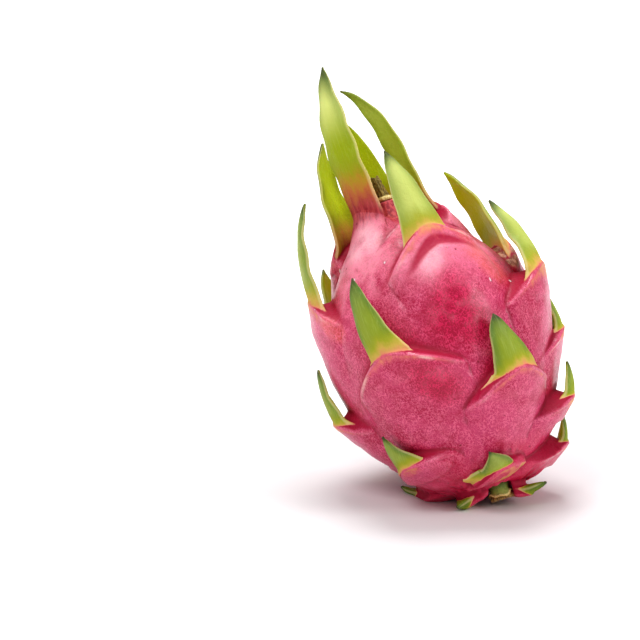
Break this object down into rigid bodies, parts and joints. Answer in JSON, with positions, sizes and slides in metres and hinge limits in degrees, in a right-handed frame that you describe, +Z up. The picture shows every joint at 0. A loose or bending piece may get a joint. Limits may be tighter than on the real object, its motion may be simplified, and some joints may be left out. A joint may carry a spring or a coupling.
{
  "type": "dragon fruit",
  "caption": "Whole red dragon fruit with green leaf-like bracts, a woody stem stub and a dried flower remnant, leaning on a small flat spot.",
  "frame": {"origin": "on the flat spot that the fruit rests on, under its centre of mass", "axes": "+Z up from the surface that the fruit rests on; its own axis leans 20 degrees towards -X and 15 degrees towards +Y; the pictured side faces -Y"},
  "size_m": [0.099, 0.086, 0.1518],
  "materials": {
    "fruit_skin": "waxy pink skin with fine pale specks, running through yellow into green bracts",
    "stem_stub": "green-brown rind with a pale rim and a brown fibrous cut end",
    "dried_flower": "dry, brown and fibrous, with a pale collar"
  },
  "bodies": {
    "root": {"fruit": "fruit_skin", "stem_stub": "stem_stub", "dried_flower": "dried_flower"}
  },
  "joints": []
}
